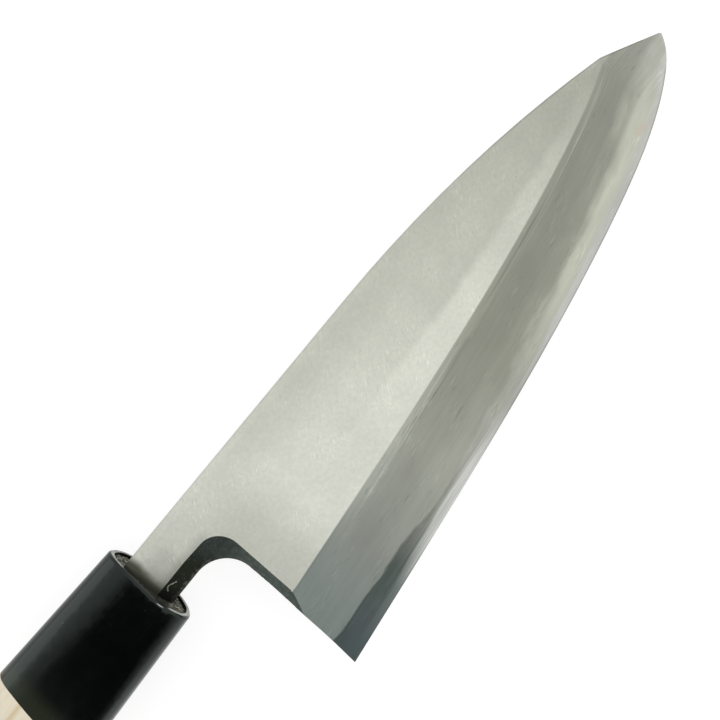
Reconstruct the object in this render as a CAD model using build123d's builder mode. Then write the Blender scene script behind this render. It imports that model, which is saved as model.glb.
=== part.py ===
from build123d import *
from math import cos, hypot, radians, sin, tan
import os

# A right-handed deba knife that lies on its side, in millimetres. Its tip points along +X, its
# spine along +Y, and the bevelled front of the blade looks up, along +Z. The origin lies under
# the middle of the knife's box, on the surface that it is laid on.

# Blade, measured from the heel corner and from the spine
blade_length = 165.0
heel_height = 53.8
spine_thickness = 7.2
distal_taper = 1.65  # degrees that the front slopes down towards the tip
cross_taper = 0.8  # degrees that the front slopes down towards the edge
tip_round = 0.4
heel_lean = 2.7
heel_bow = 1.0

# Bevel ground on the front only, with a narrow steeper bevel at the very edge
bevel_heel_width = 21.4
bevel_tip_width = 18.0
edge_bevel_width = 2.0
edge_bevel_angle = 20.0
edge_land = 0.15

# Neck and tang
neck_length = 13.1
neck_height = 13.2
neck_corner_radius = 8.0
tang_length = 95.0
tang_end_height = 6.0
tang_end_thickness = 3.0

# Forged chamfer along the front of the neck and the heel
chamfer_depth = 2.1
neck_chamfer_width = 3.7
heel_chamfer_width = 3.2
chamfer_radius_loss = 3.0

# Hard steel plate welded to the back, and the hollow ground into it
steel_heel_thickness = 2.4
steel_overlap = 1.0
steel_scarf_length = 4.0
hollow_depth = 0.4

# Handle: ferrule, wood, and the resin that closes the mouth round the tang
handle_length = 130.0
handle_turn = 6.0  # degrees that the handle is turned about its axis, to bring its ridge round
handle_rise = 1.6  # how far the handle's axis lies in front of the middle of the blade's thickness
ferrule_length = 33.7
mouth_height = 22.8
mouth_half_depth = 9.2
shoulder_height = 25.5
shoulder_half_depth = 10.3
butt_height = 30.0
butt_half_depth = 12.0
ferrule_wall = 1.3
rim_chamfer = 0.5
butt_chamfer = 1.0
mouth_recess = 1.6
seal_thickness = 0.9
ridge_round = 3.0

# Clearances, and how far a cut runs past what it cuts
socket_clearance = 0.15
glue_clearance = 0.05
overrun = 3.0

# The outline, in shares of the blade's length and of the heel's height
spine_straight_share = 0.38
spine_corner_share = (0.897, 0.1925)
tip_share = (1.0, 0.338)
edge_shares = [
    (0.982, 0.411),
    (0.95, 0.4776),
    (0.887, 0.565),
    (0.762, 0.6744),
    (0.58, 0.782),
    (0.3455, 0.8835),
]

# Places along the edge where the bevel is set out
bevel_shares = [0.0, 0.2, 0.4, 0.6, 0.8, 0.92, 1.0]

# The steel plate's thickness along the blade, in shares of its thickness at the heel
steel_shares = [
    (0.045, 0.94),
    (0.1, 0.82),
    (0.14, 0.71),
    (0.2, 0.65),
    (0.26, 0.54),
    (0.32, 0.51),
    (0.42, 0.57),
    (0.54, 0.6),
    (0.61, 0.585),
    (0.67, 0.53),
    (0.695, 0.54),
    (0.722, 0.615),
    (0.752, 0.545),
    (0.785, 0.48),
    (0.82, 0.57),
    (0.9, 0.54),
    (1.0, 0.46),
]

# The hollow: place along the blade, then its middle and half width in shares of the heel's height
hollow_shares = [
    (0.035, 0.47, 0.13),
    (0.12, 0.48, 0.37),
    (0.35, 0.44, 0.38),
    (0.6, 0.407, 0.31),
    (0.8, 0.387, 0.2),
    (0.93, 0.377, 0.07),
]

# Cross-section of the handle, in shares of its half height and half depth
ridge_share = (-0.456, 0.75)
flank_share = (0.57, 0.52)
lower_share = (-0.84, 0.43)

# How steeply the front rises to the ridge and falls from it, in shares of the way along it
ridge_rise_share = 0.06
ridge_fall_share = 0.5

# Places that follow from the sizes
butt_x = -(handle_length + neck_length + blade_length) / 2
mouth_x = butt_x + handle_length
shoulder_x = mouth_x - ferrule_length
tenon_x = mouth_x - mouth_recess
tang_root_x = shoulder_x + ferrule_length / 2
tang_end_x = mouth_x - tang_length
heel_x = mouth_x + neck_length
spine_y = (heel_height + (neck_height - butt_height) / 2) / 2
neck_y = spine_y - neck_height
axis_y = (spine_y + neck_y) / 2
edge_y = spine_y - heel_height
turn_across = sin(radians(handle_turn))
turn_along = cos(radians(handle_turn))
axis_z = hypot(butt_height / 2 * turn_across, butt_half_depth * turn_along)
middle_z = axis_z - handle_rise
back_z = middle_z - spine_thickness / 2
front_z = back_z + spine_thickness
edge_slope = tan(radians(edge_bevel_angle))
front_plane = Plane(
    origin=(heel_x, spine_y, front_z),
    z_dir=(tan(radians(distal_taper)), -tan(radians(cross_taper)), 1),
)


def on_blade(length_share, height_share):
    """A point of the blade's outline."""
    return (heel_x + length_share * blade_length, spine_y - height_share * heel_height)


def front_height(x, y):
    """The height of the blade's front face over a point."""
    along = (x - heel_x) * tan(radians(distal_taper))
    across = (spine_y - y) * tan(radians(cross_taper))
    return front_z - along - across


def bevel_width(x):
    """How wide the bevel is at a place along the blade."""
    share = (x - heel_x) / blade_length
    return bevel_heel_width + share * (bevel_tip_width - bevel_heel_width)


def bevel_section(x, y):
    """The waste over the bevel, across the blade at one point of its edge."""
    foot_z = back_z + edge_land
    step_y = y + edge_bevel_width
    step_z = foot_z + edge_bevel_width * edge_slope
    ridge_y = y + bevel_width(x)
    ridge_z = front_height(x, ridge_y)
    slope = (ridge_z - step_z) / (ridge_y - step_y)
    top_z = front_z + 2 * overrun
    with BuildSketch(Plane.YZ.offset(x)) as section:
        with BuildLine():
            Polyline(
                (y - overrun, foot_z - overrun * edge_slope),
                (step_y, step_z),
                (ridge_y + overrun, ridge_z + overrun * slope),
                (ridge_y + overrun, top_z),
                (y - overrun, top_z),
                close=True,
            )
        make_face()
    return section.sketch


def notch_section(share):
    """The waste beside the neck and the heel at one level, from the chamfer's foot to its top."""
    level_z = front_z - chamfer_depth * (1 - share)
    corner_x = heel_x + heel_lean + share * heel_chamfer_width
    corner_y = neck_y + share * neck_chamfer_width
    far_y = edge_y - overrun
    with BuildSketch(Plane.XY.offset(level_z)) as section:
        with BuildLine():
            Polyline(
                (corner_x - heel_lean * (1 - share), far_y),
                (tang_root_x, far_y),
                (tang_root_x, corner_y),
                (corner_x, corner_y),
            )
            SagittaArc(
                (corner_x, corner_y),
                (corner_x - heel_lean * (1 - share), far_y),
                heel_bow * (1 - share),
            )
        make_face()
        fillet(
            section.vertices().sort_by_distance((corner_x, corner_y))[0],
            radius=neck_corner_radius - share * chamfer_radius_loss,
        )
    return section.sketch


def hollow_section(length_share, middle_share, half_share):
    """A flat segment of a circle under the blade's back, across the blade at one place."""
    x, middle = on_blade(length_share, middle_share)
    half = half_share * heel_height
    depth = hollow_depth * half_share / max(share[2] for share in hollow_shares)
    with BuildSketch(Plane.YZ.offset(x)) as section:
        with BuildLine():
            arc = ThreePointArc(
                (middle - half, back_z),
                (middle, back_z + depth),
                (middle + half, back_z),
            )
            Polyline(
                arc @ 1,
                (middle + half, back_z - hollow_depth),
                (middle - half, back_z - hollow_depth),
                arc @ 0,
            )
        make_face()
    return section.sketch


def handle_section(x, height, half_depth, inset=0.0):
    """The handle's cross-section: round at the back, with a soft ridge low on the front."""
    tall = height / 2 - inset
    deep = half_depth - inset
    ridge = (ridge_share[0] * tall, ridge_share[1] * deep)
    turned = (0, turn_along, -turn_across)
    with BuildSketch(Plane((x, axis_y, axis_z), x_dir=turned, z_dir=(1, 0, 0))) as section:
        with BuildLine():
            EllipticalCenterArc((0, 0), tall, deep, start_angle=180, arc_size=180)
            Spline(
                (tall, 0),
                (flank_share[0] * tall, flank_share[1] * deep),
                ridge,
                tangents=[(0, 1), (-1, ridge_rise_share)],
            )
            Spline(
                ridge,
                (lower_share[0] * tall, lower_share[1] * deep),
                (-tall, 0),
                tangents=[(-1, -ridge_fall_share), (0, -1)],
            )
        make_face()
        fillet(section.vertices().sort_by(Axis.Y)[-1], radius=ridge_round)
    return section.sketch


def ferrule_section(x, inset=0.0):
    """The handle's cross-section at a place along the ferrule."""
    share = (mouth_x - x) / ferrule_length
    height = mouth_height + share * (shoulder_height - mouth_height)
    half_depth = mouth_half_depth + share * (shoulder_half_depth - mouth_half_depth)
    return handle_section(x, height, half_depth, inset)


def tang_section(x, height, thickness, clearance=0.0):
    """The tang's cross-section, or its socket's, at a place inside the handle."""
    with BuildSketch(Plane((x, axis_y, middle_z), x_dir=(0, 1, 0), z_dir=(1, 0, 0))) as section:
        Rectangle(height + 2 * clearance, thickness + 2 * clearance)
    return section.sketch


# The whole ground blade, before it is parted into soft iron and hard steel
with BuildPart() as blade_form:
    with BuildSketch(Plane.XY.offset(back_z)) as outline:
        with BuildLine():
            top = Line((tang_root_x, spine_y), on_blade(spine_straight_share, 0))
            spine = TangentArc(top @ 1, on_blade(*spine_corner_share), tangent=top % 1)
            point = Line(spine @ 1, on_blade(*tip_share))
            edge = Spline(point @ 1, *[on_blade(*share) for share in edge_shares], on_blade(0, 1))
            heel = SagittaArc(edge @ 1, (heel_x + heel_lean, neck_y), -heel_bow)
            Polyline(heel @ 1, (tang_root_x, neck_y), top @ 0)
        make_face()
        fillet(outline.vertices().sort_by_distance(heel @ 1)[0], radius=neck_corner_radius)
        fillet(outline.vertices().sort_by_distance(point @ 1)[0], radius=tip_round)
    extrude(amount=spine_thickness)
    split(bisect_by=front_plane, keep=Keep.BOTTOM)

    # Waste over the bevel, set out from the tip back to the heel and a little past each end
    stations = [edge @ share for share in bevel_shares]
    stations = [edge @ 0 - overrun * (edge % 0)] + stations + [edge @ 1 + overrun * (edge % 1)]
    loft(sections=[bevel_section(s.X, s.Y) for s in stations], mode=Mode.SUBTRACT)

    # Chamfer along the neck and the heel
    past = overrun / chamfer_depth / 2
    loft(sections=[notch_section(-past), notch_section(1 + past)], ruled=True, mode=Mode.SUBTRACT)

    # Hollow in the back
    loft(sections=[hollow_section(*share) for share in hollow_shares], mode=Mode.SUBTRACT)

    # Tang
    loft(
        sections=[
            tang_section(tang_root_x, neck_height, spine_thickness),
            tang_section(tang_end_x, tang_end_height, tang_end_thickness),
        ]
    )

# Hard cutting steel: the layer at the back, thicker at the heel, that shows along the edge
with BuildPart() as cutting_steel:
    add(blade_form.part)
    with BuildSketch(Plane.XZ.offset(-spine_y - overrun)) as layer:
        with BuildLine():
            low_z = back_z - overrun
            rear_x = heel_x - steel_overlap
            weld = Spline(
                (rear_x, back_z + steel_heel_thickness),
                *[
                    (heel_x + along * blade_length, back_z + share * steel_heel_thickness)
                    for along, share in steel_shares
                ],
            )
            Polyline(
                weld @ 1,
                (heel_x + blade_length + overrun, (weld @ 1).Y),
                (heel_x + blade_length + overrun, low_z),
                (rear_x - steel_scarf_length, low_z),
                (rear_x - steel_scarf_length, back_z),
                weld @ 0,
            )
        make_face()
    extrude(amount=heel_height + 2 * overrun, mode=Mode.INTERSECT)
cutting_steel.part.label = "cutting_steel"

# Soft iron: the rest of the blade, with the neck and the tang
with BuildPart() as blade_iron:
    add(blade_form.part)
    add(cutting_steel.part, mode=Mode.SUBTRACT)
blade_iron.part.label = "blade_iron"

# Ferrule: an open ring, tapered to the front, with a bevelled rim
with BuildPart() as ferrule:
    loft(
        sections=[
            ferrule_section(shoulder_x),
            ferrule_section(mouth_x - rim_chamfer),
            ferrule_section(mouth_x, rim_chamfer),
        ],
        ruled=True,
    )
    loft(
        sections=[ferrule_section(shoulder_x, ferrule_wall), ferrule_section(mouth_x, ferrule_wall)],
        ruled=True,
        mode=Mode.SUBTRACT,
    )
ferrule.part.label = "ferrule"

# Wooden handle, with the tenon that fills the ferrule and the socket for the tang
with BuildPart() as wood_handle:
    loft(
        sections=[
            handle_section(butt_x, butt_height, butt_half_depth, butt_chamfer),
            handle_section(butt_x + butt_chamfer, butt_height, butt_half_depth),
            handle_section(shoulder_x, shoulder_height, shoulder_half_depth),
        ],
        ruled=True,
    )
    loft(
        sections=[
            ferrule_section(shoulder_x, ferrule_wall + glue_clearance),
            ferrule_section(tenon_x, ferrule_wall + glue_clearance),
        ],
        ruled=True,
    )
    loft(
        sections=[
            tang_section(tenon_x, neck_height, spine_thickness, socket_clearance),
            tang_section(tang_root_x, neck_height, spine_thickness, socket_clearance),
            tang_section(tang_end_x, tang_end_height, tang_end_thickness, socket_clearance),
        ],
        ruled=True,
        mode=Mode.SUBTRACT,
    )
wood_handle.part.label = "wood_handle"

# Resin poured over the end of the tenon, round the tang
with BuildPart() as mouth_seal:
    loft(
        sections=[
            ferrule_section(tenon_x, ferrule_wall + glue_clearance),
            ferrule_section(tenon_x + seal_thickness, ferrule_wall + glue_clearance),
        ],
        ruled=True,
    )
    add(blade_form.part, mode=Mode.SUBTRACT)
mouth_seal.part.label = "mouth_seal"

os.makedirs("parts", exist_ok=True)
export_step(blade_iron.part, "parts/blade_iron.step")
export_step(cutting_steel.part, "parts/cutting_steel.step")
export_step(ferrule.part, "parts/ferrule.step")
export_step(wood_handle.part, "parts/wood_handle.step")
export_step(mouth_seal.part, "parts/mouth_seal.step")
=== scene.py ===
from math import cos, radians, sin

import bmesh
import bpy
from mathutils import Matrix, Vector, noise
from mathutils.bvhtree import BVHTree


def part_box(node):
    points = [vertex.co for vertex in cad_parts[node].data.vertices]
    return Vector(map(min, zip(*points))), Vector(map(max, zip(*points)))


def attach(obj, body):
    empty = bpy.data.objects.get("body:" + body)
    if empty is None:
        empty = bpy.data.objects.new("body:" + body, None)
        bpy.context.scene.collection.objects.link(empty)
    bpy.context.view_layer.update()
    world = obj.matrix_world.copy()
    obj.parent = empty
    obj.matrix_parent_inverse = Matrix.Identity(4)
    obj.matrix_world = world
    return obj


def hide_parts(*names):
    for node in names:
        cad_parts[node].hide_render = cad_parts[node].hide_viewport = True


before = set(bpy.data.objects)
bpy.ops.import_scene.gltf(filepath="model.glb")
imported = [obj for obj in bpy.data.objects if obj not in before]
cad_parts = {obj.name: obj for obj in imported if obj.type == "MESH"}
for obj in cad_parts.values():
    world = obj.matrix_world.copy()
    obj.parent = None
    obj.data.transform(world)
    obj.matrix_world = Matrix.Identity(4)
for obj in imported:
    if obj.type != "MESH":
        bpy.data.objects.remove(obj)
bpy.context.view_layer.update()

MM = 0.001

# The picture: 720 pixels square, from 172 mm over the blade, with the blade turned 50.9 degrees
# in the frame and its tip leaning 5.5 degrees away from the camera
PICTURE_SIZE = 720
FOCAL_PIXELS = 735
SENSOR_WIDTH = 36.0
CAMERA_DISTANCE = 0.1721
CAMERA_LEAN = radians(5.5)
PICTURE_TURN = radians(50.886)
AIM = Vector((0.04325, 0.01128, 0.00683))
NEAREST_VIEW = 10 * MM

# Light: a pale room with a dark patch of ceiling, a glowing floor and a weak lamp on the spine's side
ROOM_STRENGTH = 0.92
FLOOR_SIZE = 4.0
FLOOR_GREY = 0.35
FLOOR_GLOW = 0.79
LAMP_PLACE = (-0.25, 0.64, 0.25)
LAMP_SIZE = 0.4
LAMP_POWER = 0.4

# Borders of the dark patch, as shares of a direction: where it begins and where it is full
PATCH_TIP_SIDE = (-0.15, -0.24)
PATCH_BUTT_SIDE = (-0.5, -0.4)
PATCH_EDGE_SIDE = (-1.0, -0.86)
PATCH_SPINE_SIDE = (0.7, 0.62)
PATCH_FOOT = (0.02, 0.16)

# How the loose triangles of the frame are joined up, and which edges stay sharp
MERGE_DISTANCE = 0.001 * MM
FLAT_ANGLE = radians(0.3)
SHARP_ANGLE = radians(38)
CRISP_ANGLE = radians(20)

# Widths of the worn edges, and how near an end of ferrule or wood they lie
RIDGE_SOFTNESS = 0.4 * MM
SPINE_SOFTNESS = 0.25 * MM
CHAMFER_SOFTNESS = 0.18 * MM
RIM_SOFTNESS = 0.14 * MM
WOOD_SOFTNESS = 0.3 * MM
END_REACH = 2 * MM

# Kinds of face on the blade, told apart by the way they look
FLAT_TOLERANCE = radians(2.5)
FLAT_REACH = 0.8 * MM
WALL_TILT = 0.3
FACE_UP = 0.9
WELD_LEAN = 0.05
WELD_REACH = 3 * MM
HOLLOW_REACH = 0.6 * MM
NECK_REACH = 8 * MM
LINE_STATIONS = 28

# Relief of the forged scale on the chamfer, and of the filler in the mouth
RELIEF_GRID = 0.4 * MM
RELIEF_FALL = 0.7
RELIEF_GAIN = 2.0
RELIEF_OCTAVES = 3
SCALE_LUMP = 1.3 * MM
SCALE_RELIEF = 0.09 * MM
RESIN_LUMP = 1.6 * MM
RESIN_RELIEF = 0.3 * MM

# Depth of the fine grain that the finishes add
BRUSHED_GRAIN = 0.01 * MM
FORGED_GRAIN = 0.05 * MM
FERRULE_GRAIN = 0.004 * MM
WOOD_GRAIN = 0.02 * MM
RESIN_GRAIN = 0.1 * MM

# Most of what the noise gives lies between these two
NOISE_LOW = 0.3
NOISE_HIGH = 0.7

# In what follows, two numbers say where something begins and where it is full. Three numbers say
# where it begins and ends, and how soft its borders are. Spots are x, y, half length and half width

# The flat: the brighter band of painted reflection over the ridge line, the pale margin under the spine, and
# the neck with its painted shade
BAND_HEEL_HEIGHT = 9 * MM
BAND_TIP_HEIGHT = 3 * MM
BAND_WANDER = 0.35 * MM
BAND_BLUR = 1.3 * MM
NICK_TURN = radians(48)
SPINE_MARGIN = (2.4 * MM, 1.2 * MM)
NECK_SHADE = (10 * MM, 6.5 * MM)
NECK_SHADE_TOP = (21 * MM, 17 * MM)
NECK_FOOT = 13.2 * MM
CHAMFER_SHADE = 2.2 * MM
CHAMFER_SHADE_END = 4 * MM
MOUTH_DARKENING = 2.8 * MM
PALE_SPOT = (-20.4 * MM, 19.4 * MM, 0.9 * MM, 1.0 * MM)

# The bevel: the narrow step under the ridge line, the weld line's course, and the edge
STEP_END = (2.8 * MM, 1.0 * MM)
STEP_WANDER = 0.8 * MM
STEP_MARKS = (1.0 * MM, 2.6 * MM, 0.5 * MM)
RIDGE_SHADE = 0.7 * MM
WELD_BAND_WANDER = 0.4 * MM
WELD_CLOUD_WANDER = 0.6 * MM
WELD_LIFT = 1.7 * MM
WELD_HUMP = 0.7 * MM
WELD_DIP = 0.9 * MM
WELD_HEEL_BLUR = 0.35 * MM
WELD_MIDDLE_BLUR = 1.3 * MM
WELD_TIP_BLUR = 2.1 * MM
WELD_BORDER = (-0.3 * MM, 0.9 * MM, 0.5 * MM)
WELD_HAZE = (1.5 * MM, 3.0 * MM, 0.8 * MM)
STRIP_WANDER = 0.5 * MM
STRIP_LOSS = 1.1 * MM
STRIP_HEIGHT = (2.9 * MM, 1.5 * MM)
WARM_SPOT = (130.5 * MM, -6.4 * MM, 3.4 * MM, 1.4 * MM)

# Borders that flat and bevel share
RIDGE_FADE = (-0.2 * MM, 0.25 * MM)
OUTLINE_FADE = (0.45 * MM, 0.1 * MM)

# The forged scale: where the neck's ends and the heel's begins, its paler foot of painted reflection, and
# its painted shade at the mouth
HEEL_SCALE = (-4 * MM, 1.5 * MM)
HEEL_PALER = (10 * MM, 1 * MM)
SCALE_FOOT = (1.6 * MM, 2.1 * MM)
SCALE_FOOT_WANDER = 0.3 * MM
MOUTH_SHADE = (0.5 * MM, 3.5 * MM)

# The back's hollow, inside its flat rim
HOLLOW_START = (0.01 * MM, 0.05 * MM)

# The ferrule, from its mouth and its axis: the rim's face, paler at its top and bottom, the paler rear and a
# painted glint
RIM_FACE = (-0.12 * MM, -0.03 * MM)
RIM_PALE_REACH = (6.0 * MM, 7.4 * MM)
REAR_PALER = (-27.5 * MM, -32 * MM)
PAINTED_GLINT_RIM = (-0.36 * MM, -0.28 * MM, 0.04 * MM)
PAINTED_GLINT_HEIGHT = (10.7 * MM, 12.0 * MM, 0.4 * MM)
PAINTED_GLINT_TOP = (15 * MM, 16 * MM)

# The wood's rings: their slope across the handle, and how many there are in a metre
RING_SLOPE_Y = 0.55
RING_SLOPE_Z = 0.83
RING_WOBBLE = 0.8 * MM
RINGS_PER_METRE = 420

# Where the filler in the mouth lies free of the tang, from the ferrule's axis
FREE_RESIN = (5.5 * MM, 7 * MM)

# Squeezed-out filler that dried on the neck's chamfer: its course as x and y, and its thickness
GLUE_COURSE = ((-22.8, 12.0), (-22.4, 12.4), (-21.8, 12.7), (-20.9, 12.2), (-20.1, 11.8))
GLUE_RADIUS = 0.15 * MM


def seen(red, green, blue):
    """A colour as it is seen, from 0 to 255, made linear for a shader."""
    shares = [channel / 255 for channel in (red, green, blue)]
    return (*[((share + 0.055) / 1.055) ** 2.4 if share > 0.04 else share / 12.92 for share in shares], 1)


def satin(level):
    """The pale, slightly yellow grey of the ground iron, at a level of brightness."""
    return seen(level, level + 2, level - 10)


# The blade, read from the frame
def merged(node, flat_angle):
    """A node's solid as one closed mesh, with each flat face in one piece."""
    shape = bmesh.new()
    shape.from_mesh(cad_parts[node].data)
    bmesh.ops.remove_doubles(shape, verts=shape.verts, dist=MERGE_DISTANCE)
    bmesh.ops.dissolve_limit(shape, angle_limit=flat_angle, verts=shape.verts, edges=shape.edges)
    shape.normal_update()
    return shape


def kind_of(face):
    """What a face of the blade is: flat, bevel, chamfer, tang, back, weld, spine or side."""
    normal = face.normal
    middle = face.calc_center_median()
    off_flat = abs(flat_normal.dot(middle) - flat_level)
    if middle.x < ferrule_low.x:
        return "tang"
    if normal.z < -WALL_TILT:
        return "back" if middle.z < back_z + HOLLOW_REACH else "weld"
    if normal.z < WALL_TILT:
        return "spine" if normal.y > WALL_TILT else "side"
    if normal.angle(flat_normal) < FLAT_TOLERANCE and off_flat < FLAT_REACH:
        return "flat"
    if abs(normal.y) < WELD_LEAN and middle.z < back_z + WELD_REACH:
        return "weld"
    if middle.x < heel_corner.x or (normal.x < 0 and middle.x < heel_corner.x + NECK_REACH):
        return "chamfer"
    return "bevel"


def line_along(edges, pick):
    """The places, station by station from heel to tip, where a line of edges runs."""
    line = []
    for station in range(LINE_STATIONS + 1):
        x = heel_corner.x + (tip_corner.x - heel_corner.x) * station / LINE_STATIONS
        heights = []
        for edge in edges:
            start, end = sorted((v.co for v in edge.verts), key=lambda place: place.x)
            if start.x <= x < end.x:
                heights.append(start.y + (end.y - start.y) * (x - start.x) / (end.x - start.x))
        if heights:
            line.append((x, pick(heights)))
    return line


def between(shape, one, other):
    """The edges where two kinds of face meet."""
    return [e for e in shape.edges if {kind_of(face) for face in e.link_faces} == {one, other}]


iron_shape = merged("blade_iron", FLAT_ANGLE)
steel_shape = merged("cutting_steel", FLAT_ANGLE)
widest = max(iron_shape.faces, key=lambda face: face.calc_area() if face.normal.z > FACE_UP else 0)
flat_normal = widest.normal.copy()
flat_level = flat_normal.dot(widest.verts[0].co)
heel_corner = min((v.co.copy() for v in steel_shape.verts), key=lambda place: place.y)
tip_corner = max((v.co.copy() for v in steel_shape.verts), key=lambda place: place.x)
back_z = min(v.co.z for v in steel_shape.verts)
ferrule_low, ferrule_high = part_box("ferrule")
wood_low, wood_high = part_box("wood_handle")
axis_y = (wood_low.y + wood_high.y) / 2
mouth_x = ferrule_high.x
ridge_line = line_along(between(iron_shape, "flat", "bevel"), min)
weld_line = line_along(between(steel_shape, "weld", "bevel"), min)
edge_line = line_along(steel_shape.edges, min)
spine_line = line_along(steel_shape.edges, max)


class Nodes:
    """A node tree in the making. Each call adds a node and gives its output."""

    def __init__(self, tree):
        self.nodes = tree.nodes
        self.links = tree.links

    def feed(self, socket, value):
        """A value, a colour or another node's output goes into a socket."""
        if isinstance(value, bpy.types.NodeSocket):
            self.links.new(value, socket)
        elif isinstance(value, tuple):
            socket.default_value = value[: len(socket.default_value)]
        else:
            socket.default_value = value

    def math(self, operation, one, other=0.0):
        """Two values put through an operation."""
        node = self.nodes.new("ShaderNodeMath")
        node.operation = operation
        self.feed(node.inputs[0], one)
        self.feed(node.inputs[1], other)
        return node.outputs[0]

    def product(self, *values):
        """Several values multiplied."""
        total = values[0]
        for value in values[1:]:
            total = self.math("MULTIPLY", total, value)
        return total

    def sum(self, *values):
        """Several values added up."""
        total = values[0]
        for value in values[1:]:
            total = self.math("ADD", total, value)
        return total

    def rise(self, value, start, end, low=0.0, high=1.0, soft=True):
        """A value that goes from low to high as another goes from start to end."""
        node = self.nodes.new("ShaderNodeMapRange")
        node.interpolation_type = "SMOOTHSTEP" if soft else "LINEAR"
        for socket, put in zip(node.inputs, (value, start, end, low, high)):
            self.feed(socket, put)
        return node.outputs[0]

    def within(self, value, start, end, soft):
        """1 between two places of a value, 0 outside them, with soft borders."""
        from_start = self.rise(value, start - soft, start + soft)
        return self.product(from_start, self.rise(value, end + soft, end - soft))

    def apart(self, vector):
        """The three numbers of a place or a direction."""
        node = self.nodes.new("ShaderNodeSeparateXYZ")
        self.feed(node.inputs[0], vector)
        return node.outputs

    def joined(self, x, y, z=0.0):
        """A place put together from three numbers."""
        node = self.nodes.new("ShaderNodeCombineXYZ")
        for socket, value in zip(node.inputs, (x, y, z)):
            self.feed(socket, value)
        return node.outputs[0]


class Finish(Nodes):
    """A material in the making."""

    def __init__(self, name, constants):
        self.material = bpy.data.materials.new(name)
        self.material.use_nodes = True
        super().__init__(self.material.node_tree)
        self.shader = self.nodes["Principled BSDF"]
        for socket, value in constants.items():
            self.shader.inputs[socket].default_value = value
        self.at = self.nodes.new("ShaderNodeTexCoord").outputs["Object"]
        self.x, self.y, self.z = self.apart(self.at)

    def past(self, x):
        """How far the shaded point lies past a place, towards the tip."""
        return self.math("SUBTRACT", self.x, x)

    def off_axis(self):
        """How far the shaded point lies above or below the handle's axis."""
        return self.math("ABSOLUTE", self.math("SUBTRACT", self.y, axis_y))

    def line(self, places):
        """The y of a line on the blade at the shaded point's place along it."""
        xs = [x for x, y in places]
        ys = [y for x, y in places]
        node = self.nodes.new("ShaderNodeFloatCurve")
        curve = node.mapping.curves[0]
        for x, y in places[1:-1]:
            curve.points.new((x - xs[0]) / (xs[-1] - xs[0]), (y - min(ys)) / (max(ys) - min(ys)))
        curve.points[0].location.y = (ys[0] - min(ys)) / (max(ys) - min(ys))
        curve.points[-1].location.y = (ys[-1] - min(ys)) / (max(ys) - min(ys))
        for point in curve.points:
            point.handle_type = "VECTOR"
        node.mapping.update()
        self.feed(node.inputs["Value"], self.rise(self.x, xs[0], xs[-1], soft=False))
        return self.rise(node.outputs[0], 0.0, 1.0, min(ys), max(ys), soft=False)

    def stretched(self, x, y, z, turn=0.0):
        """The place in the object, turned about Z and stretched for a grain that runs one way."""
        node = self.nodes.new("ShaderNodeMapping")
        node.vector_type = "TEXTURE"
        node.inputs["Rotation"].default_value = (0, 0, turn)
        node.inputs["Scale"].default_value = (x, y, z)
        self.feed(node.inputs["Vector"], self.at)
        return node.outputs[0]

    def spot(self, x, y, long, wide):
        """1 in the middle of a soft spot on the blade's front, 0 outside it."""
        across = self.math("DIVIDE", self.math("SUBTRACT", self.y, y), wide)
        lengthwise = self.math("DIVIDE", self.math("SUBTRACT", self.x, x), long)
        apart = self.sum(self.math("POWER", across, 2.0), self.math("POWER", lengthwise, 2.0))
        return self.rise(apart, 1.0, 0.0)

    def grain(self, at, scale, detail=2.0, rough=0.5, warp=0.0):
        """Noise from 0 to 1, about 0.5."""
        node = self.nodes.new("ShaderNodeTexNoise")
        for socket, value in (("Vector", at), ("Scale", scale), ("Detail", detail)):
            self.feed(node.inputs[socket], value)
        node.inputs["Roughness"].default_value = rough
        node.inputs["Distortion"].default_value = warp
        return node.outputs["Fac"]

    def drawn(self, depth, lengthwise, across, detail=2.0, rough=0.5, layer=0.0):
        """Noise that runs along the ridge line, with its scale along the blade and across it."""
        at = self.joined(self.product(self.x, lengthwise), self.product(depth, across), layer)
        return self.grain(at, 1, detail, rough)

    def spread(self, grain, low, high):
        """Noise turned into a value from low to high."""
        return self.rise(grain, NOISE_LOW, NOISE_HIGH, low, high)

    def sway(self, grain, reach):
        """Noise turned into a value that goes either way of 0."""
        return self.spread(grain, -reach, reach)

    def marks(self, grain, light, dark):
        """Light marks where noise is high, dark ones where it is low: start, full and strength."""
        light_start, light_full, light_strength = light
        dark_start, dark_full, dark_strength = dark
        bright = self.rise(grain, light_start, light_full, 0.0, light_strength)
        return self.math("SUBTRACT", bright, self.rise(grain, dark_start, dark_full, 0.0, dark_strength))

    def ramp(self, value, stops):
        """A colour that changes along a value, through stops of a place and a colour."""
        node = self.nodes.new("ShaderNodeValToRGB")
        for place, color in stops[1:-1]:
            node.color_ramp.elements.new(place).color = color
        node.color_ramp.elements[0].position, node.color_ramp.elements[0].color = stops[0]
        node.color_ramp.elements[-1].position, node.color_ramp.elements[-1].color = stops[-1]
        self.feed(node.inputs[0], value)
        return node.outputs[0]

    def blend(self, share, one, other):
        """One colour turned into another by a share."""
        node = self.nodes.new("ShaderNodeMix")
        node.data_type = "RGBA"
        self.feed(node.inputs[0], share)
        self.feed(node.inputs[6], one)
        self.feed(node.inputs[7], other)
        return node.outputs[2]

    def shade(self, color, value):
        """A colour made darker or lighter by a factor."""
        node = self.nodes.new("ShaderNodeVectorMath")
        node.operation = "SCALE"
        self.feed(node.inputs[0], color)
        self.feed(node.inputs["Scale"], value)
        return node.outputs[0]

    def done(self, color, rough=None, relief=None, depth=0.0):
        """The colour, the roughness and the relief go to the shader."""
        self.feed(self.shader.inputs["Base Color"], color)
        if rough is not None:
            self.feed(self.shader.inputs["Roughness"], rough)
        if relief is not None:
            node = self.nodes.new("ShaderNodeBump")
            node.inputs["Distance"].default_value = depth
            self.feed(node.inputs["Height"], relief)
            self.links.new(node.outputs[0], self.shader.inputs["Normal"])
        return self.material


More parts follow.
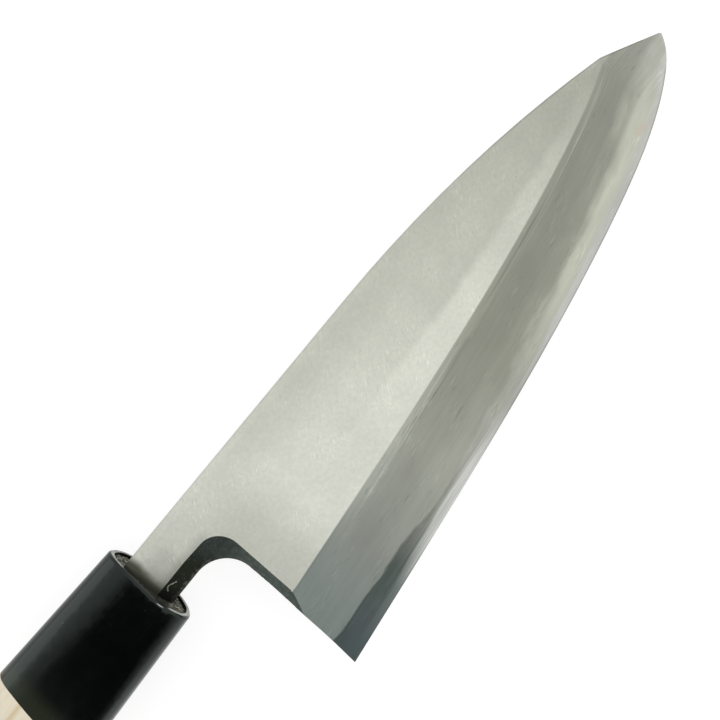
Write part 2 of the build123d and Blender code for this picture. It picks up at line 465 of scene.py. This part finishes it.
def flat_grey_and_reflection(f, along, below_spine, below_ridge, mottle):
    """The flat's grey, with painted reflection: duller to the spine and the tip, with a brighter band over
    the ridge line.
    """
    share = f.math("DIVIDE", below_spine, f.math("SUBTRACT", below_spine, below_ridge))
    # Painted reflection: the grey changes along the blade and from the spine to the ridge line
    spine_side = f.ramp(along, [
        (0.0, satin(240)),
        (0.15, satin(234)),
        (0.3, satin(212)),
        (0.5, satin(202)),
        (0.87, satin(182)),
        (0.92, satin(208)),
    ])
    middle = f.ramp(along, [
        (0.05, satin(219)),
        (0.14, satin(226)),
        (0.2, satin(243)),
        (0.3, satin(229)),
        (0.5, satin(209)),
        (0.7, satin(195)),
        (0.87, satin(176)),
        (1.0, satin(190)),
    ])
    # A brighter band of painted reflection over the ridge line
    band = f.ramp(along, [
        (0.3, satin(237)),
        (0.4, satin(231)),
        (0.5, satin(228)),
        (0.7, satin(207)),
        (0.87, satin(192)),
        (1.0, satin(176)),
    ])
    band_height = f.rise(along, 0.3, 0.8, BAND_HEEL_HEIGHT, BAND_TIP_HEIGHT, soft=False)
    band_height = f.sum(band_height, f.sway(mottle, BAND_WANDER))
    in_band = f.rise(f.sum(below_ridge, band_height), -BAND_BLUR, BAND_BLUR)
    in_band = f.product(in_band, f.rise(along, 0.2, 0.4), f.rise(along, 0.92, 0.72))
    color = f.blend(f.rise(share, 0.05, 0.5), spine_side, middle)
    return f.blend(in_band, color, band)


def neck_tone(f, color, mottle):
    """Painted shade darkens the neck towards its chamfer, and the neck is darker and browner where it leaves
    the mouth.
    """
    on_neck = f.product(f.rise(f.past(mouth_x), *NECK_SHADE), f.rise(f.y, *NECK_SHADE_TOP))
    at_chamfer = f.rise(f.math("SUBTRACT", f.y, NECK_FOOT), CHAMFER_SHADE, 0.0)
    at_chamfer = f.product(at_chamfer, f.rise(f.past(heel_corner.x), CHAMFER_SHADE_END, 0.0))
    # Painted shade over the neck and by its chamfer
    shadow = f.sum(f.product(on_neck, 0.15), f.product(at_chamfer, 0.22))
    color = f.shade(color, f.math("SUBTRACT", 1.0, shadow))
    # Darker and browner towards the mouth
    darkening_end = f.sum(mouth_x, f.spread(mottle, 0.8 * MOUTH_DARKENING, 1.2 * MOUTH_DARKENING))
    mouth_darkening = f.rise(f.past(darkening_end), 0.0, -0.8 * MOUTH_DARKENING)
    color = f.blend(f.product(mouth_darkening, 0.9), color, seen(80, 84, 66))
    return f.blend(f.product(f.spot(*PALE_SPOT), 0.35), color, seen(220, 206, 192))


def flat_color(f, along, below_spine, below_ridge):
    """The flat's colour, with flecks and with short nicks that run up towards the tip."""
    mottle = f.grain(f.at, 90, 3)
    flecks = f.grain(f.at, 1100, 3, 0.6)
    patches = f.rise(f.grain(f.at, 90, 2), 0.42, 0.6)
    nicks = f.grain(f.stretched(1 / 600, 1 / 2800, 1 / 600, NICK_TURN), 1, 2, 0.6)
    nick_marks = f.product(patches, f.marks(nicks, (0.6, 0.72, 0.2), (0.38, 0.28, 0.15)))
    near_spine = f.product(f.rise(below_spine, *SPINE_MARGIN), f.rise(along, 0.52, 0.44))
    level = f.sum(1.0, nick_marks, f.sway(mottle, 0.03), f.sway(flecks, 0.035))
    tone = flat_grey_and_reflection(f, along, below_spine, below_ridge, mottle)
    color = f.shade(tone, f.sum(level, f.product(near_spine, 0.045)))
    return neck_tone(f, color, mottle), f.sum(flecks, nicks)


def iron_tone(f, along, share, below_ridge, clouds):
    """The bevel's iron: lighter towards the weld line, and in the step under the ridge line. Its tone along
    the blade is painted reflection.
    """
    # Painted reflection along the blade
    tone = f.ramp(along, [
        (0.1, seen(147, 157, 152)),
        (0.2, seen(150, 154, 147)),
        (0.33, seen(163, 165, 154)),
        (0.5, seen(148, 150, 138)),
        (0.9, seen(150, 152, 141)),
        (1.0, seen(170, 171, 162)),
    ])
    level = f.rise(share, 0.42, 0.67, 1.0, f.rise(along, 0.12, 0.32, 1.0, 1.14))
    step = f.rise(f.sum(below_ridge, f.sway(clouds, STEP_WANDER)), *STEP_END)
    step = f.product(step, f.rise(along, 0.14, 0.3))
    step_light = f.product(step, f.rise(along, 0.4, 0.8, 0.26, 0.1))
    heel_light = f.product(f.rise(share, 0.3, 0.1), f.within(along, 0.2, 0.33, 0.08), 0.14)
    ridge_shade = f.product(f.rise(below_ridge, RIDGE_SHADE, 0.0), f.rise(along, 0.3, 0.12), -0.2)
    pale_clouds = f.product(
        f.rise(share, 0.38, 0.55),
        f.rise(along, 0.6, 0.8),
        f.rise(clouds, 0.35, 0.6, 0.05, 0.14),
    )
    return f.shade(tone, f.sum(level, step_light, heel_light, ridge_shade, pale_clouds))


def steel_tone(f, along, under_weld):
    """The hard steel: dark and teal at the heel and pale further on by painted reflection, with a haze under
    the weld line.
    """
    # Painted reflection: dark and teal at the heel, pale further on
    tone = f.ramp(along, [
        (0.1, seen(92, 103, 103)),
        (0.2, seen(96, 105, 100)),
        (0.27, seen(138, 141, 133)),
        (0.38, seen(182, 183, 174)),
        (0.48, seen(172, 174, 163)),
        (0.6, seen(192, 194, 180)),
        (0.85, seen(200, 202, 187)),
        (1.0, seen(186, 187, 178)),
    ])
    haze = f.product(f.within(under_weld, *WELD_HAZE), f.rise(along, 0.4, 0.55, 0.0, 0.06))
    return f.shade(tone, f.sum(1.0, haze))


def depth_under_weld(f, along, bands, clouds):
    """How far a point lies under the weld line, which wanders and climbs towards the tip."""
    below_weld = f.math("SUBTRACT", f.line(weld_line), f.y)
    wander = f.sum(f.sway(bands, WELD_BAND_WANDER), f.sway(clouds, WELD_CLOUD_WANDER))
    lift = f.product(f.rise(along, 0.3, 0.8, 0.0, WELD_LIFT), f.rise(along, 0.97, 0.9))
    hump = f.product(f.within(along, 0.37, 0.5, 0.06), WELD_HUMP)
    dip = f.product(f.within(along, 0.62, 0.7, 0.05), -WELD_DIP)
    return f.sum(below_weld, wander, f.sum(lift, hump, dip))


def welded(f, along, under_weld, iron, steel):
    """Iron over steel, with a dark border between them at the heel and a soft one further on."""
    blur = f.sum(
        f.rise(along, 0.3, 0.65, WELD_HEEL_BLUR, WELD_MIDDLE_BLUR),
        f.rise(along, 0.68, 0.85, 0.0, WELD_TIP_BLUR),
    )
    color = f.blend(f.rise(under_weld, f.product(blur, -1.0), blur), iron, steel)
    border = f.product(f.within(under_weld, *WELD_BORDER), f.rise(along, 0.42, 0.2, 0.0, -0.1))
    return f.shade(color, f.sum(1.0, border))


def edge_strip(f, along, above_edge, bands, color):
    """The bright strip that the stones left along the edge, dark at the heel by painted reflection, and a
    thin dark line at its foot.
    """
    # Painted reflection along the strip, dark at the heel
    strip = f.ramp(along, [
        (0.1, seen(97, 108, 108)),
        (0.18, seen(124, 132, 129)),
        (0.26, seen(208, 210, 205)),
        (0.36, seen(210, 211, 206)),
        (0.46, seen(178, 179, 173)),
        (0.6, seen(204, 205, 200)),
        (0.75, seen(194, 195, 189)),
        (1.0, seen(204, 205, 198)),
    ])
    loss = f.product(f.within(along, 0.44, 0.56, 0.05), STRIP_LOSS)
    wander = f.sum(f.sway(bands, STRIP_WANDER), loss)
    color = f.blend(f.rise(f.sum(above_edge, wander), *STRIP_HEIGHT), color, strip)
    edge_dark = f.product(f.rise(above_edge, *OUTLINE_FADE), f.rise(along, 0.35, 0.5), -0.35)
    return f.shade(color, f.sum(1.0, edge_dark))


def stone_marks(f, along, share, below_ridge):
    """Short scratches in groups, and long ones in the step and low on the heel's side."""
    lines = f.drawn(below_ridge, 28, 2600, 2, 0.6)
    in_step = f.product(f.within(below_ridge, *STEP_MARKS), f.rise(along, 0.14, 0.26))
    low = f.product(f.rise(share, 0.75, 0.9), f.within(along, 0.16, 0.42, 0.06))
    long_marks = f.marks(lines, (0.54, 0.68, 0.32), (0.46, 0.32, 0.28))
    scratches = f.drawn(below_ridge, 260, 2400, 2, 0.6)
    short_marks = f.marks(scratches, (0.57, 0.7, 0.2), (0.43, 0.3, 0.18))
    groups = f.rise(f.drawn(below_ridge, 90, 260, 2, layer=5.0), 0.5, 0.62)
    by_ridge = f.product(f.rise(share, 0.4, 0.25), f.within(along, 0.18, 0.42, 0.05), 0.7)
    groups = f.product(groups, f.sum(1.0, by_ridge))
    return f.product(groups, short_marks), f.product(f.math("MAXIMUM", in_step, low), long_marks)


def bevel_color(f, along, below_ridge):
    """The bevel: grey iron streaked along its length, the hazy weld line, the steel and the edge."""
    above_edge = f.math("SUBTRACT", f.y, f.line(edge_line))
    share = f.math("DIVIDE", below_ridge, f.sum(below_ridge, above_edge))
    streaks = f.drawn(below_ridge, 55, 2200, 4, 0.6)
    bands = f.drawn(below_ridge, 25, 500)
    clouds = f.drawn(below_ridge, 90, 220, 3)
    under_weld = depth_under_weld(f, along, bands, clouds)
    iron = iron_tone(f, along, share, below_ridge, clouds)
    steel = steel_tone(f, along, under_weld)
    color = welded(f, along, under_weld, iron, steel)
    color = edge_strip(f, along, above_edge, bands, color)
    level = f.sum(1.0, f.sway(streaks, 0.03), f.sway(bands, 0.02), f.sway(clouds, 0.035))
    color = f.shade(color, f.sum(level, *stone_marks(f, along, share, below_ridge)))
    color = f.blend(f.product(f.spot(*WARM_SPOT), 0.3), color, seen(206, 182, 164))
    return color, streaks


def front_finish(name):
    """The blade's ground front, with the ridge line between flat and bevel."""
    f = Finish(name, {"Metallic": 1.0})
    along = f.rise(f.x, mouth_x, tip_corner.x, soft=False)
    below_ridge = f.math("SUBTRACT", f.line(ridge_line), f.y)
    below_spine = f.math("SUBTRACT", f.line(spine_line), f.y)
    flat, flat_relief = flat_color(f, along, below_spine, below_ridge)
    bevel, bevel_relief = bevel_color(f, along, below_ridge)
    on_bevel = f.rise(below_ridge, *RIDGE_FADE)
    color = f.blend(on_bevel, flat, bevel)
    spine_dark = f.product(f.rise(below_spine, *OUTLINE_FADE), f.rise(along, 0.6, 0.75, 0.12, 0.35))
    color = f.shade(color, f.math("SUBTRACT", 1.0, spine_dark))
    relief = f.blend(on_bevel, flat_relief, bevel_relief)
    return f.done(color, f.rise(on_bevel, 0.0, 1.0, 0.42, 0.36), relief, BRUSHED_GRAIN)


def scale_finish():
    """Forged scale: nearly black on the neck, darker still by painted shade at the mouth, slate on the heel,
    with a paler strip of painted reflection at its foot.
    """
    f = Finish("forged_scale", {"Specular IOR Level": 0.15})
    lumps = f.grain(f.at, 900, 4, 0.6)
    specks = f.grain(f.at, 2600, 2, 0.7)
    level = f.sum(*[f.product(place, slope) for place, slope in zip((f.x, f.y, f.z), flat_normal)])
    depth = f.math("SUBTRACT", flat_level, level)
    # The paler foot is painted reflection
    foot = f.rise(f.sum(depth, f.sway(lumps, SCALE_FOOT_WANDER)), *SCALE_FOOT)
    neck = f.blend(foot, seen(34, 39, 29), seen(76, 78, 71))
    # Painted shade by the mouth
    neck = f.shade(neck, f.rise(f.past(mouth_x), *MOUTH_SHADE, 0.3, 1.0))
    heel = f.blend(f.rise(f.y, *HEEL_PALER), seen(54, 62, 58), seen(82, 91, 86))
    color = f.blend(f.rise(f.past(heel_corner.x), *HEEL_SCALE), neck, heel)
    color = f.shade(color, f.spread(lumps, 0.75, 1.25))
    color = f.blend(f.rise(specks, 0.66, 0.75, 0.0, 0.6), color, seen(150, 145, 130))
    return f.done(color, f.spread(lumps, 0.6, 0.8), lumps, FORGED_GRAIN)


def wall_finish():
    """The blade's narrow sides, drawn lengthwise on a coarse stone."""
    f = Finish("ground_side", {"Metallic": 1.0})
    streaks = f.grain(f.stretched(1 / 60, 1 / 60, 1 / 2500), 1, 4, 0.6)
    color = f.shade(seen(165, 167, 160), f.spread(streaks, 0.85, 1.1))
    return f.done(color, f.spread(streaks, 0.34, 0.5), streaks, BRUSHED_GRAIN)


def back_finish():
    """The back: a hollow brushed lengthwise inside a brighter flat rim."""
    f = Finish("hollow_back", {"Metallic": 1.0})
    streaks = f.grain(f.stretched(1 / 40, 1 / 2200, 1 / 40), 1, 4, 0.6)
    inside = f.rise(f.math("SUBTRACT", f.z, back_z), *HOLLOW_START)
    color = f.blend(inside, seen(190, 192, 184), seen(150, 153, 147))
    color = f.shade(color, f.spread(streaks, 0.9, 1.08))
    return f.done(color, f.rise(inside, 0.0, 1.0, 0.25, 0.4), streaks, BRUSHED_GRAIN)


def ferrule_finish():
    """Black ferrule, half gloss, with handling marks, a little dust, a rim face pale at its top and bottom,
    and a painted glint on the rim's chamfer.
    """
    f = Finish("black_ferrule", {"Specular IOR Level": 0.45, "Specular Tint": (0.85, 1.0, 0.96, 1)})
    haze = f.grain(f.at, 350, 4, 0.6)
    handling = f.grain(f.stretched(1 / 90, 1 / 2500, 1 / 90), 1, 2)
    dust = f.grain(f.at, 1500, 2)
    from_mouth = f.past(mouth_x)
    # The rim's face: pale at its top and bottom, grey in the middle beside the tang
    rim_face_colour = f.blend(f.rise(haze, 0.4, 0.6), seen(150, 154, 146), seen(196, 199, 190))
    rim_face_colour = f.blend(f.rise(f.off_axis(), *RIM_PALE_REACH), seen(34, 40, 31), rim_face_colour)
    color = f.blend(f.rise(from_mouth, *REAR_PALER), seen(3, 5, 4), seen(34, 36, 23))
    color = f.blend(f.rise(dust, 0.77, 0.82), color, seen(90, 92, 86))
    color = f.blend(f.rise(from_mouth, *RIM_FACE), color, rim_face_colour)
    # A painted glint: a near-white spot on the rim's chamfer stands in for a highlight
    painted_glint = f.product(
        f.within(from_mouth, *PAINTED_GLINT_RIM),
        f.within(f.y, *PAINTED_GLINT_HEIGHT),
        f.rise(f.z, *PAINTED_GLINT_TOP),
    )
    color = f.blend(painted_glint, color, seen(250, 252, 250))
    rough = f.sum(f.spread(haze, 0.13, 0.15), f.rise(handling, 0.6, 0.8, 0.0, 0.06))
    return f.done(color, rough, handling, FERRULE_GRAIN)


def wood_finish():
    """Pale sanded wood: straight grain along the handle, rings on the butt."""
    f = Finish("pale_wood", {"Roughness": 0.6})
    wobble = f.grain(f.stretched(1 / 8, 1 / 60, 1 / 60), 1, 3)
    across = f.sum(f.product(f.y, RING_SLOPE_Y), f.product(f.z, RING_SLOPE_Z), f.sway(wobble, RING_WOBBLE))
    ring = f.math("FRACT", f.product(across, RINGS_PER_METRE))
    late = f.rise(f.math("ABSOLUTE", f.math("SUBTRACT", ring, 0.5)), 0.32, 0.5)
    pores = f.grain(f.stretched(1 / 160, 1 / 2600, 1 / 2600), 1, 3, 0.6)
    color = f.blend(late, seen(238, 228, 204), seen(222, 204, 168))
    color = f.shade(color, f.spread(pores, 0.93, 1.04))
    return f.done(color, None, pores, WOOD_GRAIN)


def resin_finish():
    """Rough filler: dark beside the tang, with whitish bits above and below it."""
    f = Finish("mouth_resin", {"Roughness": 0.7})
    lumps = f.grain(f.at, 900, 4, 0.6)
    worms = f.math("ABSOLUTE", f.math("SUBTRACT", f.grain(f.at, 700, 1, 0.5, 0.6), 0.5))
    color = f.blend(f.rise(lumps, 0.35, 0.6), seen(24, 26, 19), seen(104, 104, 92))
    pale = f.product(f.rise(worms, 0.04, 0.015), f.rise(lumps, 0.4, 0.5))
    color = f.blend(pale, color, seen(206, 202, 190))
    free = f.rise(f.off_axis(), *FREE_RESIN)
    color = f.blend(f.rise(free, 0.0, 1.0, 0.1, 1.0), seen(24, 26, 19), color)
    return f.done(color, None, lumps, RESIN_GRAIN)


def glue_finish():
    """The same filler dried on the neck, pale and a little uneven."""
    f = Finish("dried_filler", {"Roughness": 0.6})
    lumps = f.grain(f.at, 2400, 3, 0.6)
    color = f.blend(f.rise(lumps, 0.35, 0.65), seen(104, 103, 90), seen(172, 170, 156))
    return f.done(color, None, lumps, FORGED_GRAIN)


KINDS = ["flat", "bevel", "chamfer", "tang", "back", "weld", "spine", "side"]
FINISH_OF_KIND = {
    "flat": 0,
    "bevel": 0,
    "weld": 0,
    "chamfer": 1,
    "tang": 1,
    "back": 2,
    "spine": 3,
    "side": 3,
}


def round_off(shape, edges, width):
    """Worn edges are rounded a little."""
    bmesh.ops.bevel(
        shape,
        geom=edges,
        offset=width,
        offset_type="OFFSET",
        affect="EDGES",
        segments=2,
        profile=0.5,
        material=-1,
        clamp_overlap=True,
    )


def grid_cut(shape, chosen, axes):
    """Chosen faces are cut along a fine grid, so that they can take relief."""
    for axis in axes:
        normal = Vector((0, 0, 0))
        normal[axis] = 1
        places = [v.co[axis] for face in chosen(shape) for v in face.verts]
        for step in range(1, int((max(places) - min(places)) / RELIEF_GRID) + 1):
            at = Vector((0, 0, 0))
            at[axis] = min(places) + step * RELIEF_GRID
            faces = chosen(shape)
            edges = {edge for face in faces for edge in face.edges}
            verts = {v for face in faces for v in face.verts}
            bmesh.ops.bisect_plane(
                shape, geom=[*faces, *edges, *verts], plane_co=at, plane_no=normal, dist=MERGE_DISTANCE
            )


def roughen(shape, chosen, lump, relief):
    """Points inside the chosen faces go up and down by noise."""
    faces = set(chosen(shape))
    inside = {v for face in faces for v in face.verts if set(v.link_faces) <= faces}
    moves = {}
    for v in inside:
        height = noise.fractal(v.co / lump, RELIEF_FALL, RELIEF_GAIN, RELIEF_OCTAVES)
        moves[v] = relief * height * v.normal
    for v, move in moves.items():
        v.co += move


def keep(shape, name, node, materials):
    """A finished mesh becomes a piece that stands for its node."""
    for face in shape.faces:
        face.smooth = True
    for edge in shape.edges:
        edge.smooth = edge.calc_face_angle(0) < SHARP_ANGLE
    mesh = bpy.data.meshes.new(name)
    shape.to_mesh(mesh)
    shape.free()
    for material in materials:
        mesh.materials.append(material)
    piece = bpy.data.objects.new(name, mesh)
    bpy.context.scene.collection.objects.link(piece)
    even = piece.modifiers.new("even_shading", "WEIGHTED_NORMAL")
    even.keep_sharp = True
    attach(piece, "root")
    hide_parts(node)


def add_glue(surface):
    """A thin run of dried filler on the neck's chamfer, beside the mouth."""
    data = bpy.data.curves.new("glue_run", "CURVE")
    data.dimensions = "3D"
    data.bevel_depth = GLUE_RADIUS
    data.bevel_resolution = 2
    data.use_fill_caps = True
    run = data.splines.new("NURBS")
    run.points.add(len(GLUE_COURSE) - 1)
    for point, (x, y) in zip(run.points, GLUE_COURSE):
        over = Vector((x * MM, y * MM, ferrule_high.z))
        at = surface.ray_cast(over, Vector((0, 0, -1)))[0]
        point.co = (*at, 1)
    run.order_u = 3
    run.use_endpoint_u = True
    drawn = bpy.data.objects.new("glue_run", data)
    bpy.context.scene.collection.objects.link(drawn)
    bpy.context.view_layer.update()
    mesh = bpy.data.meshes.new_from_object(drawn)
    bpy.data.objects.remove(drawn)
    mesh.materials.clear()
    mesh.materials.append(glue_finish())
    piece = bpy.data.objects.new("glue_bead", mesh)
    bpy.context.scene.collection.objects.link(piece)
    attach(piece, "root")


def soften_blade(shape, kind):
    """The blade's worn edges are rounded, each kind by its own width."""
    for pair, width in (
        (("flat", "bevel"), RIDGE_SOFTNESS),
        (("flat", "spine"), SPINE_SOFTNESS),
        (("back", "spine"), SPINE_SOFTNESS),
        (("flat", "chamfer"), CHAMFER_SOFTNESS),
        (("chamfer", "side"), CHAMFER_SOFTNESS),
    ):
        wanted = {KINDS.index(one) for one in pair}
        edges = [e for e in shape.edges if {face[kind] for face in e.link_faces} == wanted]
        if edges:
            round_off(shape, edges, width)
    bmesh.ops.remove_doubles(shape, verts=shape.verts, dist=MERGE_DISTANCE)


def add_blade():
    """Soft iron and hard steel, each with its own ground, forged and hollow faces."""
    other_finishes = [scale_finish(), back_finish(), wall_finish()]
    for shape, name, slot, node in (
        (iron_shape, "iron", "soft_iron", "blade_iron"),
        (steel_shape, "steel", "hard_steel", "cutting_steel"),
    ):
        kind = shape.faces.layers.int.new("kind")
        for face in shape.faces:
            face[kind] = KINDS.index(kind_of(face))
        soften_blade(shape, kind)
        if name == "iron":
            chamfer = KINDS.index("chamfer")

            def on_chamfer(shape):
                return [face for face in shape.faces if face[kind] == chamfer]

            grid_cut(shape, on_chamfer, (0, 1))
            shape.normal_update()
            roughen(shape, on_chamfer, SCALE_LUMP, SCALE_RELIEF)
            add_glue(BVHTree.FromBMesh(shape))
        for face in shape.faces:
            face.material_index = FINISH_OF_KIND[KINDS[face[kind]]]
        shape.faces.layers.int.remove(kind)
        keep(shape, name, node, [front_finish(name + "_front"), *other_finishes])


def add_ferrule():
    """The ferrule, with the edges of its rim rounded."""
    ring = merged("ferrule", 0)
    rim = [
        edge
        for edge in ring.edges
        if edge.calc_face_angle(0) > CRISP_ANGLE and min(v.co.x for v in edge.verts) > mouth_x - END_REACH
    ]
    round_off(ring, rim, RIM_SOFTNESS)
    keep(ring, "ferrule_ring", "ferrule", [ferrule_finish()])


def add_wood():
    """The wooden handle, with the edges of its butt rounded."""
    wood = merged("wood_handle", 0)
    butt = [
        edge
        for edge in wood.edges
        if edge.calc_face_angle(0) > CRISP_ANGLE and max(v.co.x for v in edge.verts) < wood_low.x + END_REACH
    ]
    round_off(wood, butt, WOOD_SOFTNESS)
    keep(wood, "handle", "wood_handle", [wood_finish()])


def add_filler():
    """The filler in the mouth, rough where it shows."""

    def on_top(shape):
        return [face for face in shape.faces if face.normal.x > FACE_UP]

    filler = merged("mouth_seal", FLAT_ANGLE)
    grid_cut(filler, on_top, (1, 2))
    filler.normal_update()
    roughen(filler, on_top, RESIN_LUMP, RESIN_RELIEF)
    keep(filler, "resin", "mouth_seal", [resin_finish()])


def add_camera():
    """The camera at the photograph's place."""
    along = Vector((cos(CAMERA_LEAN), 0, sin(CAMERA_LEAN)))
    away = Vector((-sin(CAMERA_LEAN), 0, cos(CAMERA_LEAN)))
    spinewards = Vector((0, 1, 0))
    right = cos(PICTURE_TURN) * along - sin(PICTURE_TURN) * spinewards
    up = sin(PICTURE_TURN) * along + cos(PICTURE_TURN) * spinewards
    data = bpy.data.cameras.new("camera")
    data.sensor_width = SENSOR_WIDTH
    data.lens = SENSOR_WIDTH * FOCAL_PIXELS / PICTURE_SIZE
    data.clip_start = NEAREST_VIEW
    camera = bpy.data.objects.new("camera", data)
    turn = Matrix((right, up, away)).transposed().to_4x4()
    camera.matrix_world = Matrix.Translation(AIM + CAMERA_DISTANCE * away) @ turn
    bpy.context.scene.collection.objects.link(camera)
    bpy.context.scene.camera = camera


def add_room():
    """A pale room, with a dark patch of ceiling beyond the handle. The camera sees it white."""
    world = bpy.data.worlds.new("room")
    bpy.context.scene.world = world
    world.use_nodes = True
    room = Nodes(world.node_tree)
    tipwards, spinewards, up = room.apart(room.nodes.new("ShaderNodeTexCoord").outputs["Generated"])
    patch = room.product(
        room.rise(tipwards, *PATCH_TIP_SIDE),
        room.rise(tipwards, *PATCH_BUTT_SIDE),
        room.rise(spinewards, *PATCH_EDGE_SIDE),
        room.rise(spinewards, *PATCH_SPINE_SIDE),
        room.rise(up, *PATCH_FOOT),
    )
    camera_ray = room.nodes.new("ShaderNodeLightPath").outputs["Is Camera Ray"]
    lit = room.product(room.math("SUBTRACT", 1.0, patch), ROOM_STRENGTH)
    shade = room.math("MAXIMUM", lit, camera_ray)
    room.feed(room.nodes["Background"].inputs["Color"], room.joined(shade, shade, shade))


def add_lamp():
    """A weak square lamp on the spine's side, turned to the knife."""
    data = bpy.data.lights.new("spine_side", "AREA")
    data.size = LAMP_SIZE
    data.energy = LAMP_POWER
    lamp = bpy.data.objects.new("spine_side", data)
    lamp.location = LAMP_PLACE
    lamp.rotation_euler = (-Vector(LAMP_PLACE)).to_track_quat("-Z", "Y").to_euler()
    bpy.context.scene.collection.objects.link(lamp)


def add_floor():
    """A plain pale floor that keeps a faint shadow."""
    mesh = bpy.data.meshes.new("floor")
    shape = bmesh.new()
    bmesh.ops.create_grid(shape, x_segments=1, y_segments=1, size=FLOOR_SIZE / 2)
    shape.to_mesh(mesh)
    shape.free()
    floor = bpy.data.objects.new("floor", mesh)
    bpy.context.scene.collection.objects.link(floor)
    material = bpy.data.materials.new("pale_floor")
    material.use_nodes = True
    surface = Nodes(material.node_tree)
    shader = surface.nodes["Principled BSDF"]
    shader.inputs["Base Color"].default_value = (FLOOR_GREY, FLOOR_GREY, FLOOR_GREY, 1)
    shader.inputs["Roughness"].default_value = 1.0
    shader.inputs["Specular IOR Level"].default_value = 0.0
    shader.inputs["Emission Color"].default_value = (1, 1, 1, 1)
    path = surface.nodes.new("ShaderNodeLightPath")
    rays = [path.outputs[ray] for ray in ("Is Camera Ray", "Is Glossy Ray", "Is Transmission Ray")]
    glow = surface.product(surface.math("MINIMUM", surface.sum(*rays), 1.0), FLOOR_GLOW)
    surface.feed(shader.inputs["Emission Strength"], glow)
    mesh.materials.append(material)


add_camera()
add_room()
add_lamp()
add_floor()
add_blade()
add_ferrule()
add_wood()
add_filler()
bpy.context.scene.view_settings.view_transform = "Standard"
